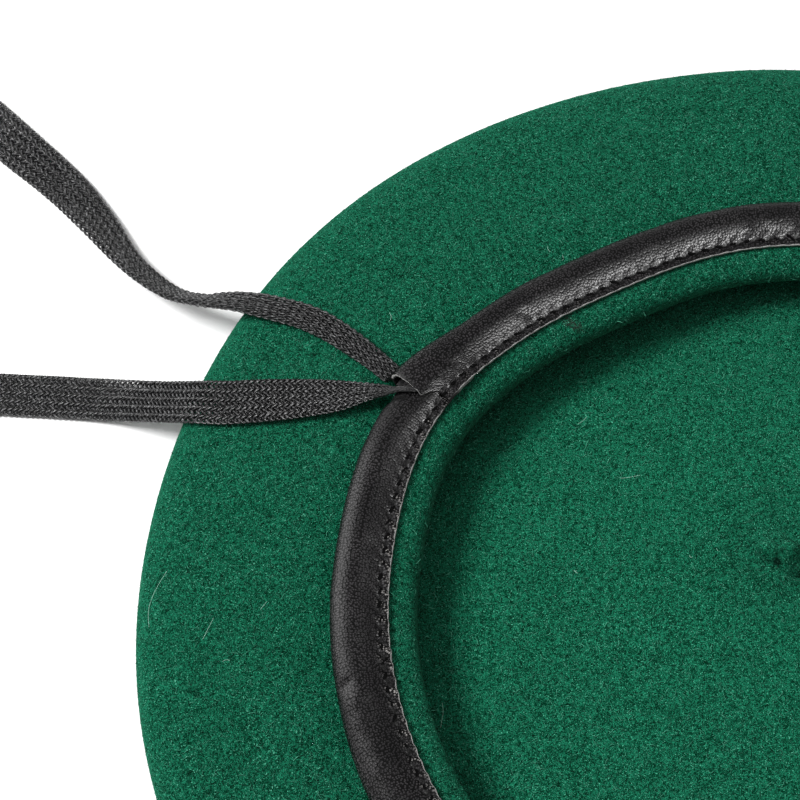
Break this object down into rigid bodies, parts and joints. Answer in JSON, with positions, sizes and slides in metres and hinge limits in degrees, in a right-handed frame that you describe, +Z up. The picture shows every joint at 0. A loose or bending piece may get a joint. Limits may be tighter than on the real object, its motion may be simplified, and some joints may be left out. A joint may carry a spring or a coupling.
{
  "type": "military beret",
  "caption": "Green wool felt beret lying crown down with its head opening up, leather band folded over the edge and a flat drawstring leaving the band in free ends.",
  "frame": {"origin": "centre of the round rim, on the surface that the crown rests on", "axes": "+Z up through the head opening; the drawstring's free ends leave the band towards -X and +Y"},
  "size_m": [0.3634, 0.2801, 0.0239],
  "materials": {
    "felt": "fulled green wool felt with a short fibrous nap",
    "leather": "soft black leather with a fine pebbled grain and a satin sheen",
    "braid": "flat charcoal black tubular braid"
  },
  "bodies": {
    "root": {"felt_body": "felt", "leather_band": "leather", "drawstring_in_band": "braid", "drawstring_upper_end": "braid", "drawstring_lower_end": "braid"}
  },
  "joints": []
}
